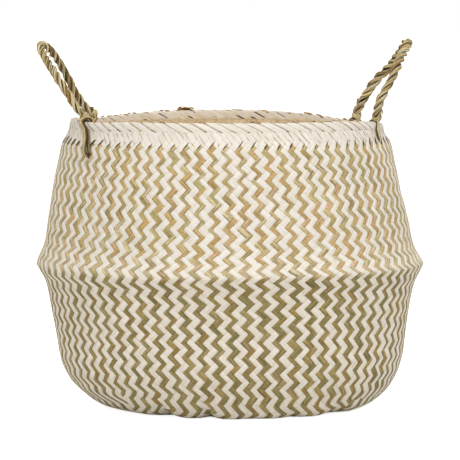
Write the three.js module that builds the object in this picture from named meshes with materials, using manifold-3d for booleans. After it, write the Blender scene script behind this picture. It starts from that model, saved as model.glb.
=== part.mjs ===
import * as THREE from 'three';
import { mergeVertices } from 'three/addons/utils/BufferGeometryUtils.js';
import Module from 'manifold-3d';

// A belly basket plaited from dried seagrass: a round bowl below, a bell above it that leans
// back in to the mouth, and a sharp belly fold between the two. The wall is double, a patterned
// outer plait over a plain lining. A white band and a rolled edging finish the mouth, and two
// twisted rope handles stand on it, each held by a lashing at either foot.
// Millimetres, +Z up, +X to the right and -Y to the front. The origin is the middle of the
// underside, on the surface that the basket stands on.

// Driving dimensions of the body
const bellyRadius = 210;
const creaseHeight = 154;
const baseRadius = 138;
const neckRadius = 180;
const rimRadius = 171.5;
const rimHeight = 311;
const bandHeight = 18;
const edgingHeight = 8;
const edgingWidth = 8;

// Thickness of the two layers of plait and the gap between pieces that touch
const plaitThickness = 2.2;
const liningThickness = 1.6;
const seatGap = 0.3;

// Lashings: a flat strand looped round the band and the edging, tied inside
const lashingWidth = 8;
const lashingThickness = 1.8;
const lashingClearance = 0.4;
const knotWidth = 12;
const knotHeight = 11;
const knotDepth = 8;

// Handles: a rope that rises from two feet on the mouth and is bound with a strip above each
const ropeDiameter = 10.4;
const loopHeight = 86.5;
const footHalfAngleDeg = 25;
const bindingHeight = 7;
const bindingThickness = 1.2;
const bindingClearance = 0.5;
const bindingRise = 10;
const handles = [
  { side: 'left', azimuthDeg: 178, leanDeg: 31, bow: 4, frontFootSign: 1 },
  { side: 'right', azimuthDeg: 7.5, leanDeg: 27, bow: -5.5, frontFootSign: -1 },
];

// Facets of the round shapes
const roundSides = 48;
const ropeSides = 8;
const ropeSteps = 40;
const edgingSides = 8;
const knotSides = 10;
const bindingSides = 12;
const lashingSteps = 6;

// Shares of the way up and of the way out, from the flat base to the belly fold
const bowlShares = [
  [0, 0], [0.02, 0.14], [0.058, 0.29], [0.105, 0.4], [0.17, 0.5], [0.25, 0.585],
  [0.38, 0.667], [0.6, 0.75], [0.8, 0.826], [0.88, 0.87], [0.95, 0.95], [1, 1],
];
// Shares of the way up and of the way in, from the belly fold to the band
const bellShares = [
  [0, 0], [0.06, 0.12], [0.13, 0.28], [0.2, 0.385], [0.35, 0.49], [0.6, 0.69], [0.8, 0.87], [1, 1],
];
// The same, from the foot of the band to the edging
const bandShares = [[0, 0], [0.35, 0.5], [0.6, 0.72], [1, 1]];
// Half of a handle: shares of half its span, of its height and of its bow
const loopShares = [
  [1, 0, 0], [1.01, 0.13, 0.32], [0.96, 0.3, 0.85], [0.86, 0.49, 1], [0.69, 0.68, 0.8],
  [0.46, 0.85, 0.45], [0.2, 0.97, 0.1], [0, 1, 0],
];
// How far up the band the knot of a lashing sits
const knotRiseShare = 0.35;

const bandFootHeight = rimHeight - edgingHeight - bandHeight;
const wallThickness = plaitThickness + seatGap + liningThickness;
const lashingTop = rimHeight + lashingClearance + lashingThickness;
const ropeRadius = ropeDiameter / 2;
const footHeight = lashingTop + seatGap + ropeRadius;
const fullTurn = Math.PI * 2;

const wasm = await Module();
wasm.setup();

const materials = {
  plait: new THREE.MeshStandardMaterial({ color: 0xdccfae, roughness: 0.8, metalness: 0 }),
  white: new THREE.MeshStandardMaterial({ color: 0xece5d8, roughness: 0.75, metalness: 0 }),
  lining: new THREE.MeshStandardMaterial({ color: 0xc4a878, roughness: 0.85, metalness: 0 }),
  rope: new THREE.MeshStandardMaterial({ color: 0x94804f, roughness: 0.9, metalness: 0 }),
};

const basket = new THREE.Group();

function addPiece(name, geometry, material, parent = basket) {
  const mesh = new THREE.Mesh(geometry, material);
  mesh.name = name;
  parent.add(mesh);
  return mesh;
}

// The outside of the wall as one line in (radius, height), from the flat base to the edging
function stretch(shares, from, to) {
  return shares.map(([rise, reach]) => new THREE.Vector2(
    THREE.MathUtils.lerp(from.x, to.x, reach),
    THREE.MathUtils.lerp(from.y, to.y, rise),
  ));
}

const baseEdge = new THREE.Vector2(baseRadius, 0);
const crease = new THREE.Vector2(bellyRadius, creaseHeight);
const bandFoot = new THREE.Vector2(neckRadius, bandFootHeight);
const bandTop = new THREE.Vector2(rimRadius, rimHeight - edgingHeight);
const outside = [
  new THREE.Vector2(0, 0),
  ...stretch(bowlShares, baseEdge, crease),
  ...stretch(bellShares, crease, bandFoot).slice(1),
  ...stretch(bandShares, bandFoot, bandTop).slice(1),
];
const baseEnd = 1;
const creaseEnd = bowlShares.length;
const bandFootEnd = creaseEnd + bellShares.length - 1;
const bandTopEnd = outside.length - 1;

// A line set off square to itself, inwards when the depth is positive
function setOff(line, depth) {
  const square = (a, b) => new THREE.Vector2(a.y - b.y, b.x - a.x).normalize();
  return line.map((point, i) => {
    const before = i > 0 ? square(line[i - 1], point) : square(point, line[i + 1]);
    const after = i < line.length - 1 ? square(point, line[i + 1]) : before;
    const middle = before.clone().add(after).normalize();
    return point.clone().addScaledVector(middle, depth / middle.dot(before));
  });
}

// One layer of the wall between two corners of the outside line, a little short of both
function layerLine(start, end, depth) {
  const line = setOff(outside, depth).slice(start, end + 1);
  const shorten = (tip, next) => {
    const along = next.clone().sub(tip).normalize();
    tip.addScaledVector(along, seatGap / 2);
  };
  if (line[0].x > 0) shorten(line[0], line[1]);
  shorten(line.at(-1), line.at(-2));
  return line;
}

function turned(profile, sides = roundSides) {
  return new THREE.LatheGeometry(profile, sides).rotateX(Math.PI / 2);
}

function wallLayer(start, end, outerDepth, innerDepth) {
  const outer = layerLine(start, end, outerDepth);
  const inner = layerLine(start, end, innerDepth).reverse();
  const onAxis = outer[0].x === 0;
  return turned([...outer, ...inner, ...(onAxis ? [] : [outer[0].clone()])]);
}

function toSolid(geometry) {
  const bare = geometry.clone();
  bare.deleteAttribute('normal');
  bare.deleteAttribute('uv');
  const merged = mergeVertices(bare, seatGap / 100);
  return new wasm.Manifold(new wasm.Mesh({
    numProp: 3,
    vertProperties: new Float32Array(merged.attributes.position.array),
    triVerts: new Uint32Array(merged.index.array),
  }));
}

function toGeometry(solid) {
  const mesh = solid.getMesh();
  const geometry = new THREE.BufferGeometry();
  geometry.setAttribute('position', new THREE.BufferAttribute(mesh.vertProperties, mesh.numProp));
  geometry.setIndex(new THREE.BufferAttribute(mesh.triVerts, 1));
  geometry.computeVertexNormals();
  return geometry;
}

// The rolled edging, an oval ring that sits on both layers of the wall
const edgingRadius = rimRadius - wallThickness / 2;
const edgingRise = rimHeight - edgingHeight / 2;

function edgingPoint(angle, growth) {
  return new THREE.Vector2(
    edgingRadius + (edgingWidth / 2 + growth) * Math.cos(angle),
    edgingRise + (edgingHeight / 2 + growth) * Math.sin(angle),
  );
}

// The four feet of the handles, each with its place round the mouth
const feet = handles.flatMap((handle) => [-1, 1].map((sign) => ({
  name: `${handle.side}_${sign === handle.frontFootSign ? 'front' : 'back'}`,
  handle,
  sign,
  azimuth: THREE.MathUtils.degToRad(handle.azimuthDeg + sign * footHalfAngleDeg),
})));

// A lashing's section: up the outside of the band, over the edging and down the inside
function lashingLine(growth) {
  const outer = setOff(outside, -growth).slice(bandFootEnd, bandTopEnd);
  const inner = setOff(outside, wallThickness + growth).slice(bandFootEnd, bandTopEnd).reverse();
  const over = [];
  for (let i = 0; i <= lashingSteps; i += 1) {
    over.push(edgingPoint((i / lashingSteps) * Math.PI, growth));
  }
  outer[0].y -= growth;
  inner.at(-1).y -= growth;
  return [...outer, ...over, ...inner];
}

function acrossBand(shape, width, azimuth) {
  const geometry = new THREE.ExtrudeGeometry(shape, { depth: width, bevelEnabled: false });
  geometry.rotateX(Math.PI / 2);
  geometry.translate(0, width / 2, 0);
  geometry.rotateZ(azimuth);
  return geometry;
}

// The bell's layers. Each lashing passes through a slot in them, just below the band.
function slotted(geometry) {
  const section = new THREE.Shape(lashingLine(lashingThickness + lashingClearance * 2));
  let solid = toSolid(geometry);
  for (const foot of feet) {
    const slot = acrossBand(section, lashingWidth + lashingClearance * 2, foot.azimuth);
    solid = solid.subtract(toSolid(slot));
  }
  return toGeometry(solid);
}

function addWall() {
  const liningDepth = plaitThickness + seatGap;
  const plait = [0, plaitThickness];
  const lining = [liningDepth, wallThickness];
  addPiece('base_plait', wallLayer(0, baseEnd, ...plait), materials.plait);
  addPiece('lower_wall_plait', wallLayer(baseEnd, creaseEnd, ...plait), materials.plait);
  addPiece('upper_wall_plait', slotted(wallLayer(creaseEnd, bandFootEnd, ...plait)), materials.plait);
  addPiece('rim_band_plait', wallLayer(bandFootEnd, bandTopEnd, ...plait), materials.white);
  addPiece('lining_base', wallLayer(0, baseEnd, ...lining), materials.lining);
  addPiece('lining_lower_wall', wallLayer(baseEnd, creaseEnd, ...lining), materials.lining);
  addPiece('lining_upper_wall', slotted(wallLayer(creaseEnd, bandFootEnd, ...lining)), materials.lining);
  addPiece('rim_band_lining', wallLayer(bandFootEnd, bandTopEnd, ...lining), materials.lining);
}

// The edging is rolled round the top of both layers
function addEdging() {
  const profile = [];
  for (let i = 0; i <= edgingSides; i += 1) {
    profile.push(edgingPoint((i / edgingSides) * fullTurn, 0));
  }
  addPiece('rim_edging', turned(profile), materials.white);
}

function addLashing(foot) {
  const shape = new THREE.Shape(lashingLine(lashingClearance + lashingThickness));
  shape.holes.push(new THREE.Path(lashingLine(lashingClearance)));
  const geometry = acrossBand(shape, lashingWidth, foot.azimuth);
  addPiece(`lashing_${foot.name}`, geometry, materials.rope);
}

// The knot that ties a lashing, seated on its inner leg
function addKnot(foot) {
  const innerDepth = wallThickness + lashingClearance + lashingThickness + seatGap;
  const [low, high] = setOff(outside, innerDepth).slice(bandFootEnd, bandFootEnd + 2);
  const rise = bandHeight * knotRiseShare;
  const along = (rise - (low.y - bandFootHeight)) / (high.y - low.y);
  const seat = low.clone().lerp(high, along);
  const knot = new THREE.SphereGeometry(1 / 2, knotSides, knotSides / 2);
  knot.scale(knotDepth, knotWidth, knotHeight);
  knot.translate(seat.x - knotDepth / 2, 0, seat.y);
  knot.rotateZ(foot.azimuth);
  addPiece(`knot_${foot.name}`, knot, materials.rope);
}

// A handle, in a group turned so that X points out of the basket across its two feet, which
// stand on the middle of the edging
const footHalfAngle = THREE.MathUtils.degToRad(footHalfAngleDeg);
const footReach = edgingRadius * Math.cos(footHalfAngle);
const halfSpan = edgingRadius * Math.sin(footHalfAngle);

function handleLine({ leanDeg, bow }) {
  const lean = THREE.MathUtils.degToRad(leanDeg);
  const up = new THREE.Vector3(Math.sin(lean), 0, Math.cos(lean));
  const out = new THREE.Vector3(Math.cos(lean), 0, -Math.sin(lean));
  const half = (sign) => loopShares.map(([across, rise, bend]) => (
    new THREE.Vector3(footReach, sign * halfSpan * across, footHeight)
      .addScaledVector(up, loopHeight * rise)
      .addScaledVector(out, bow * bend)
  ));
  const far = half(1).reverse();
  return new THREE.CatmullRomCurve3([...half(-1), ...far.slice(1)], false, 'centripetal');
}

function ropeLoop(line) {
  const section = new THREE.Shape();
  for (let i = 0; i < ropeSides; i += 1) {
    const angle = (i / ropeSides) * fullTurn;
    section[i ? 'lineTo' : 'moveTo'](ropeRadius * Math.cos(angle), ropeRadius * Math.sin(angle));
  }
  const tube = new THREE.ExtrudeGeometry(section, { steps: ropeSteps, extrudePath: line });
  let rope = toSolid(tube);
  for (const end of [line.points[0], line.points.at(-1)]) {
    const foot = new THREE.SphereGeometry(ropeRadius, knotSides, knotSides / 2);
    foot.rotateX(Math.PI / 2);
    foot.translate(end.x, end.y, end.z);
    rope = rope.add(toSolid(foot));
  }
  return toGeometry(rope);
}

function binding(line, sign) {
  const inner = ropeRadius + bindingClearance;
  const outer = inner + bindingThickness;
  const half = bindingHeight / 2;
  const corners = [[outer, -half], [outer, half], [inner, half], [inner, -half], [outer, -half]];
  const ring = new THREE.LatheGeometry(corners.map(([r, z]) => new THREE.Vector2(r, z)), bindingSides);
  const fromEnd = bindingRise / line.getLength();
  const share = sign < 0 ? fromEnd : 1 - fromEnd;
  const turn = new THREE.Quaternion().setFromUnitVectors(
    new THREE.Vector3(0, 1, 0),
    line.getTangentAt(share),
  );
  ring.applyQuaternion(turn);
  const middle = line.getPointAt(share);
  ring.translate(middle.x, middle.y, middle.z);
  return ring;
}

function addHandle(handle) {
  const group = new THREE.Group();
  group.rotation.z = THREE.MathUtils.degToRad(handle.azimuthDeg);
  basket.add(group);
  const line = handleLine(handle);
  addPiece(`handle_rope_${handle.side}`, ropeLoop(line), materials.rope, group);
  for (const foot of feet.filter((each) => each.handle === handle)) {
    addPiece(`binding_${foot.name}`, binding(line, foot.sign), materials.lining, group);
  }
}

addWall();
addEdging();
feet.forEach(addLashing);
feet.forEach(addKnot);
handles.forEach(addHandle);

export default basket;
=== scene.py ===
# %% [markdown]
# # A belly basket, plaited strip by strip
# The basket is a double wall of dried seagrass: a patterned plait outside and a plain lining
# inside. It is a round bowl with a bell above it, and the belly folds between the two. A white
# band and a rolled edging finish the mouth, and two twisted ropes make the handles.
#
# The imported CAD model is loaded first as a fixed frame. Every piece made below lies in the same
# frame in metres and stands for the plain CAD solid of that name, and the pieces given a body ride on
# it.

# %% The frame and its box
import functools
import math

import bpy
import numpy as np
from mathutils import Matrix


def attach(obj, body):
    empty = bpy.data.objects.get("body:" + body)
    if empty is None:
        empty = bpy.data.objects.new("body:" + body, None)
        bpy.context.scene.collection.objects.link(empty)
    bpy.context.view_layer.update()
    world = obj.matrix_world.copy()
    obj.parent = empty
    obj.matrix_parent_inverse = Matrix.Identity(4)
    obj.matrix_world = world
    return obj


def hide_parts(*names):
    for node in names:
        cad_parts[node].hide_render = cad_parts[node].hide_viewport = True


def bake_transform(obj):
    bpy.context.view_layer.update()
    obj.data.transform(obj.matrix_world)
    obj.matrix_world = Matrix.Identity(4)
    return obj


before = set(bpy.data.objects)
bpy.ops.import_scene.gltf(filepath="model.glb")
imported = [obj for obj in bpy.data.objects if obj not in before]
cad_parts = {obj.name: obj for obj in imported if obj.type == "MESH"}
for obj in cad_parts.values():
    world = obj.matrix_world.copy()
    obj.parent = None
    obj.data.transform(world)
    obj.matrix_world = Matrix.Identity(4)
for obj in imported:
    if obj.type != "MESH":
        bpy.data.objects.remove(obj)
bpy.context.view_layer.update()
scene = bpy.context.scene
random = np.random.default_rng(4)

# %% [markdown]
# ## Camera
# The photograph was taken from far away with a long lens, a little above the basket: the mouth
# is seen almost edge on and the belly's fold runs as a flat curve. Four metres and a 280 mm
# lens give that flat view, which a short lens close up can't.

# %% Camera
camera_data = bpy.data.cameras.new("camera")
camera_data.sensor_width = 36
camera_data.lens = 280
camera = bpy.data.objects.new("camera", camera_data)
camera.location = (0.0016, -3.9, 0.486)
camera.rotation_euler = (math.radians(90 - 4.358), 0, 0)
scene.collection.objects.link(camera)
scene.camera = camera
scene.view_settings.view_transform = "Standard"


# %% [markdown]
# ## Helpers for colours and nodes
# Colours are written as sRGB hex values, as a paint chart gives them, and turned to the linear
# values that Blender's sockets hold. One function adds a node with its settings and its inputs,
# where an input is a value, another node or one of its outputs.

# %% Helpers for colours and nodes
def linear(hex_colour):
    """The linear RGBA of an sRGB hex colour."""
    shares = [int(hex_colour[i:i + 2], 16) / 255 for i in (1, 3, 5)]
    return tuple(s / 12.92 if s <= 0.04045 else ((s + 0.055) / 1.055) ** 2.4 for s in shares) + (1,)


def even_stops(colours):
    """Stops of a colour ramp at even distances, from hex colours."""
    return [(i / (len(colours) - 1), linear(colour)) for i, colour in enumerate(colours)]


def grey_stops(*pairs):
    """Stops of a colour ramp from pairs of a position and a brightness."""
    return [(position, (value, value, value, 1)) for position, value in pairs]


def add_node(tree, kind, settings=None, inputs=None, stops=()):
    """A node of this kind in the tree. Inputs are values, or outputs to link from, or nodes,
    which link from their first output. Stops are those of a colour ramp."""
    node = tree.nodes.new(kind)
    for name, value in (settings or {}).items():
        setattr(node, name, value)
    for name, value in (inputs or {}).items():
        if isinstance(value, bpy.types.Node):
            value = value.outputs[0]
        if isinstance(value, bpy.types.NodeSocket):
            tree.links.new(value, node.inputs[name])
        else:
            node.inputs[name].default_value = value
    for i, (position, colour) in enumerate(stops):
        elements = node.color_ramp.elements
        element = elements[i] if i < len(elements) else elements.new(position)
        element.position, element.color = position, colour
    return node


# %% [markdown]
# ## Light
# Soft light comes from all round, as in a white studio: an even world, one large softbox above
# the camera and a weaker one at either side. A small lamp in the mouth lifts the shade inside,
# and the camera doesn't see it. What the camera sees behind the basket is white through Is
# Camera Ray, so the light on the basket itself stays at a plain level.

# %% World
world = bpy.data.worlds.new("studio")
world.use_nodes = True
scene.world = world
sky = world.node_tree
sky.nodes.clear()
rays = add_node(sky, "ShaderNodeLightPath")
seen = add_node(sky, "ShaderNodeMath", {"operation": "MAXIMUM"},
                {0: rays.outputs["Is Camera Ray"], 1: rays.outputs["Is Glossy Ray"]})
seen = add_node(sky, "ShaderNodeMath", {"operation": "MAXIMUM"},
                {0: seen, 1: rays.outputs["Is Transmission Ray"]})
room = add_node(sky, "ShaderNodeBackground", None, {"Color": linear("#FFF9EE"), "Strength": 0.6})
backdrop = add_node(sky, "ShaderNodeBackground", None, {"Color": linear("#FFFFFF"), "Strength": 1})
shown = add_node(sky, "ShaderNodeMixShader", None, {0: seen, 1: room, 2: backdrop})
add_node(sky, "ShaderNodeOutputWorld", None, {"Surface": shown})


# %% Lamps
def add_softbox(name, place, size, watts, aim_at=(0, 0, 0.18)):
    """A square softbox that points at the middle of the basket, or at another place."""
    lamp = bpy.data.lights.new(name, "AREA")
    lamp.shape = "SQUARE"
    lamp.size = size
    lamp.energy = watts
    softbox = bpy.data.objects.new(name, lamp)
    softbox.location = place
    aim = np.array(aim_at) - np.array(place)
    across, away = math.hypot(aim[0], aim[1]), math.atan2(aim[1], aim[0])
    softbox.rotation_euler = (math.atan2(across, -aim[2]), 0, away - math.pi / 2)
    scene.collection.objects.link(softbox)
    return softbox


add_softbox("softbox_above", place=(0.0, -1.6, 2.3), size=1.6, watts=29.5)
add_softbox("softbox_left", place=(-2.4, -1.2, 0.9), size=1.2, watts=2.2)
add_softbox("softbox_right", place=(2.1, -1.1, 2.8), size=1.2, watts=12)
mouth_fill = add_softbox("fill_in_the_mouth", place=(0, 0, 0.2), size=0.15, watts=0.14,
                         aim_at=(0, 0, 1))
mouth_fill.visible_camera = False

# %% [markdown]
# ## Floor
# A plain pale floor. It keeps the basket's own soft shadow, and a little emission that only the
# camera sees lifts the rest of it to the white of the backdrop.

# %% Floor
floor_paint = bpy.data.materials.new("pale_floor")
floor_paint.use_nodes = True
paint = floor_paint.node_tree
paint.nodes.clear()
rays = add_node(paint, "ShaderNodeLightPath")
matt = add_node(paint, "ShaderNodeBsdfDiffuse", None, {"Color": linear("#F2F1EE")})
lift = add_node(paint, "ShaderNodeEmission", None,
                {"Color": linear("#FFFFFF"), "Strength": rays.outputs["Is Camera Ray"]})
lifted = add_node(paint, "ShaderNodeAddShader", None, {0: matt, 1: lift})
lift_share = 0.85
shown = add_node(paint, "ShaderNodeMixShader", None, {0: lift_share, 1: matt, 2: lifted})
add_node(paint, "ShaderNodeOutputMaterial", None, {"Surface": shown})

floor_size = 40
floor_mesh = bpy.data.meshes.new("floor")
half = floor_size / 2
floor_mesh.from_pydata([(-half, -half, 0), (half, -half, 0), (half, half, 0), (-half, half, 0)],
                       [], [(0, 1, 2, 3)])
floor_mesh.materials.append(floor_paint)
floor = bpy.data.objects.new("floor", floor_mesh)
scene.collection.objects.link(floor)

# %% [markdown]
# ## The outside of the wall as one line
# Every layer follows the same line in radius and height: flat under the base, round up the
# bowl, sharp at the belly's fold, then the bell and the band. The sizes are those of the CAD to
# a few millimetres. The corners are rounded, because plait bends over a few millimetres, but
# the fold is pressed nearly sharp.

# %% Line of the wall
base_radius, belly_radius, neck_radius, rim_radius = 0.138, 0.210, 0.180, 0.1715
crease_height, band_foot_height, band_top_height = 0.154, 0.285, 0.305
rim_height = 0.313
bowl_shares = [(0, 0), (0.02, 0.14), (0.058, 0.29), (0.105, 0.4), (0.17, 0.5), (0.25, 0.585),
               (0.38, 0.667), (0.6, 0.75), (0.8, 0.826), (0.88, 0.87), (0.95, 0.95), (1, 1)]
bell_shares = [(0, 0), (0.06, 0.12), (0.13, 0.28), (0.2, 0.385), (0.35, 0.49), (0.6, 0.69),
               (0.8, 0.87), (1, 1)]
band_shares = [(0, 0), (0.35, 0.5), (0.6, 0.72), (1, 1)]


def stretch(shares, start, end):
    """Points in (radius, height) at these shares of the rise and of the reach."""
    return [(start[0] + (end[0] - start[0]) * reach, start[1] + (end[1] - start[1]) * rise)
            for rise, reach in shares]


corners = [(0, 0), *stretch(bowl_shares, (base_radius, 0), (belly_radius, crease_height)),
           *stretch(bell_shares, (belly_radius, crease_height), (neck_radius, band_foot_height))[1:],
           *stretch(band_shares, (neck_radius, band_foot_height), (rim_radius, band_top_height))[1:]]
corners = np.array(corners)
corner_run = np.concatenate([[0], np.cumsum(np.hypot(*np.diff(corners, axis=0).T))])
run_step = 0.0005
run = np.arange(0, corner_run[-1], run_step)
softness, kernel_steps = 0.0022, 16
kernel_reach = np.arange(-kernel_steps, kernel_steps + 1) * run_step
kernel = np.exp(-((kernel_reach / softness) ** 2) / 2)
kernel /= kernel.sum()
fold_sharpness, fold_reach = 0.8, 0.009


def soften(values):
    """Rounds the corners of a line that is sampled every run_step, and keeps its ends."""
    first = 2 * values[0] - values[kernel_steps:0:-1]
    last = 2 * values[-1] - values[-2:-kernel_steps - 2:-1]
    return np.convolve(np.concatenate([first, values, last]), kernel, "valid")


def soften_but_fold(values, fold_run):
    """The softened line, which stays nearly sharp where the belly folds."""
    sharp = fold_sharpness * np.exp(-((run - fold_run) / fold_reach) ** 2)
    return soften(values) + sharp * (values - soften(values))


sharp_radius, sharp_height = (np.interp(run, corner_run, corners[:, i]) for i in (0, 1))
widest_run = run[sharp_radius.argmax()]
wall_radius, wall_height = (soften_but_fold(line, widest_run)
                            for line in (sharp_radius, sharp_height))
slope = np.stack([np.gradient(wall_radius, run), np.gradient(wall_height, run)])
slope /= np.hypot(*slope)
square_out = np.stack([slope[1], -slope[0]])
crease_run = np.interp(crease_height, wall_height, run)
band_foot_run = float(np.interp(band_foot_height, wall_height, run))
print(f"wall: {run[-1] * 1000:.0f} mm from the middle of the base to the edging")

# %% [markdown]
# ## Hand-made unevenness
# The real wall isn't turned on a lathe: it swells and dips by a millimetre or two, its fold
# rises and falls, the base is lumpy where it turns up, and the whole basket leans slightly.
# All layers take their unevenness from the same smooth waves, so they stay together.

# %% Unevenness of the wall
def smooth_waves(count, around, up, size):
    """Random waves round the basket and up it: size, turns round, turns per metre up, phase."""
    return [(size * random.uniform(0.4, 1) / count, random.integers(*around), random.uniform(-up, up),
             random.uniform(0, math.tau)) for _ in range(count)]


def wave_sum(waves, azimuth, height):
    """The sum of these waves at a place of the wall, in metres."""
    return sum(size * np.sin(turns * azimuth + math.tau * rate * height + phase)
               for size, turns, rate, phase in waves)


dents = smooth_waves(7, (2, 8), 7, 0.0035)
sags = smooth_waves(5, (2, 6), 3, 0.0030)
# Where the base turns up it is lumpy: degrees round the basket, mm up or down
lumps = {-170: 1, -154: -1.5, -139: -2.5, -127: -4, -121: -2.5, -117.5: 2.6, -114: -3, -108: -6.5,
         -103: -4, -100: 2.6, -97: -4, -91: -7.5, -83: -5, -75: -7, -67: -3.5, -58: -7, -47: -1.5,
         -36: -4.5, -14: 0, 10: -1, 30: -3, 60: 0, 80: -4, 110: -1, 135: -4, 160: -2}
# How far the wall leans to the right, and how much fuller it is than the CAD: height in mm, mm
lean = {0: 5.9, 14: 5.6, 26: 3.8, 47: 2.5, 69: 3.0, 90: 3.1, 113: 3.3, 134: 3.5, 147: 3.0, 154: 2.2,
        167: 0.4, 180: -0.1, 200: -0.9, 222: -1.8, 233: -2.4, 254: -2.2, 286: -2.2, 313: -2.2}
fuller = {0: 3.0, 14: 2.4, 26: 3.4, 47: 3.9, 69: 2.3, 90: 1.7, 113: 1.9, 134: 2.1, 154: 2.4, 167: 2.1,
          178: 2.1, 200: 1.7, 222: 1.1, 233: 0.7, 254: 1.4, 270: 0.8, 285: 0}
# At the handles the edging hangs some millimetres lower than at the front and back: degrees, mm
drops = {-90: 0, -45: 0.2, -33: 1.2, -20: 3.4, -10: 5.4, 0: 7.2, 20: 8.4, 35: 8.4, 46: 5.9, 55: 3.4,
         65: 1.5, 78: 0.4, 90: 0, 110: 0.2, 123: 1.2, 130: 2.5, 141: 4.6, 150: 5.0, 160: 4.2, 170: 3.0,
         180: 2.2, 203: 2.7, 214: 2.8, 225: 1.5, 235: 0.2}

# %% [markdown]
# ## A plait that is pulled about
# The hands that plait a wall don't keep its columns plumb. They lean a little, stand closer
# together at the front of the bell, and are pulled some millimetres round the basket in both
# the bowl and the bell. Low in the bowl the rows also slide up the wall on one side and down it
# on the other. All strips follow the same tables, so the plait stays closed.

# %% Pull of the plait
# How far the columns are turned round the basket, and crowded towards its front: metres, radians
twist_heights = [0, 0.03, 0.154, 0.227, 0.285, 0.313]
twist_turns = [0.055, 0.045, 0.006, 0.016, 0, -0.005]
crowd_heights, crowd_turns = [0.154, 0.200, 0.285], [0, 0.012, 0.05]
# Degrees from the middle of the front, thousandths of a radian
bowl_pull = {-180: 0, -45: 0, -33: -2, -22: -10, -13: -16, 0: -21, 10: -22, 17: -17, 25: -7, 35: -3,
             60: 0, 180: 0}
bell_pull = {-180: 0, -120: 20, -70: 44, -50: 42, -39: 34, -30: 20, -22: 10, -5: 0, 20: -1, 35: -3,
             180: 0}
bowl_pull_fades, bell_pull_grows = (0.145, 0.185), (0.155, 0.200)
# Degrees from the middle of the front, mm up the wall, and how much of that is left at a height:
# mm, thousandths
slide = {-180: 0, -60: 4, -39: 4.6, -22: 4, -13: 2.5, -6: 1, 2: 0, 9: -0.9, 17: -2.4, 25: -3, 35: -3,
         60: -2, 180: 0}
slide_share = {0: 300, 15: 1000, 55: 1000, 75: 600, 95: 200, 115: 0}


def look_up(table, at, period=None):
    """The value at a place of a table whose values are kept in thousandths, such as mm."""
    return np.interp(at, list(table), list(table.values()), period=period) / 1000


def rim_drop(azimuth, height):
    """How far a point of the band or the edging hangs down."""
    share = np.clip((height - band_foot_height) / (rim_height - band_foot_height), 0, 1)
    return share * look_up(drops, np.degrees(azimuth), 360)


def pulled(azimuth, height):
    """How far the columns are turned out of plumb at this place."""
    from_front = np.degrees(azimuth) + 90
    return (np.interp(height, twist_heights, twist_turns)
            - np.interp(height, crowd_heights, crowd_turns) * np.cos(azimuth)
            + np.interp(height, bowl_pull_fades, [1, 0]) * look_up(bowl_pull, from_front, 360)
            + np.interp(height, bell_pull_grows, [0, 1]) * look_up(bell_pull, from_front, 360))


# The middle of the base stays as it is. The pull and the slide are full at these runs, the lumps
# lie where the base turns up, and the dents grow from there and fade out below the edging
full_pull_run, full_slide_run, turn_up_run, turn_up_reach = 0.1, 0.15, 0.158, 0.016
dents_from_run, dents_grow, dents_to_height, dents_fade = 0.150, 0.06, 0.300, 0.05


def settle(azimuth, along_run, lift):
    """Points of the wall in metres, lift metres outside its outer line."""
    at_height = np.interp(along_run, run, wall_height) * 1000
    sliding = look_up(slide_share, at_height) * np.clip(along_run / full_slide_run, 0, 1) ** 2
    along_run = along_run + sliding * look_up(slide, np.degrees(azimuth) + 90, 360)
    radius, height, flat, rise = (np.interp(along_run, run, line)
                                  for line in (wall_radius, wall_height, *square_out))
    off_base = np.clip(along_run / full_pull_run, 0, 1)
    azimuth = azimuth + pulled(azimuth, height) * off_base
    radius, height = radius + flat * lift, height + rise * lift
    radius = radius + look_up(fuller, height * 1000) * off_base
    dented = (np.clip((along_run - dents_from_run) / dents_grow, 0, 1)
              * np.clip((dents_to_height - height) / dents_fade, 0, 1))
    radius = radius + dented * wave_sum(dents, azimuth, height)
    height = height + dented * wave_sum(sags, azimuth, height)
    near_turn = np.exp(-(((along_run - turn_up_run) / turn_up_reach) ** 2))
    lump = near_turn * look_up(lumps, np.degrees(azimuth), 360)
    height = height + np.maximum(lump, -np.interp(along_run, run, wall_height))
    height = height - rim_drop(azimuth, height)
    shift = look_up(lean, height * 1000)
    return np.stack([radius * np.cos(azimuth) + shift, radius * np.sin(azimuth), height], axis=-1)


def outward(azimuth, along_run):
    """The direction square to the wall, pointing out of the basket."""
    flat = np.interp(along_run, run, square_out[0])
    rise = np.interp(along_run, run, square_out[1])
    return np.stack([flat * np.cos(azimuth), flat * np.sin(azimuth), rise], axis=-1)


# %% [markdown]
# ## A plait of strips on a slant
# Such a basket starts as a flat square of diagonal plait. Its edge becomes a ring, and from
# there the same strips climb the wall on a slant, half of them falling to the viewer's right
# and half rising. So the number of strips is the same at every height, and where the wall is
# narrower the strips steepen. A falling strip is numbered by a + 1/2 and a rising one by
# b + 1/2: they cross where around + up and around - up are those numbers. The row of a crossing
# is a - b, and a strip passes over two rows and under two, which makes a zigzag twill. Just
# above the fold and below the band the rows are pushed closer together.

# %% Plait
# Where along the wall, over what reach and by what share
closer_rows = ((crease_run + 0.018, 0.017, 0.13), (band_foot_run - 0.022, 0.0145, 0.171))


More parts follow.
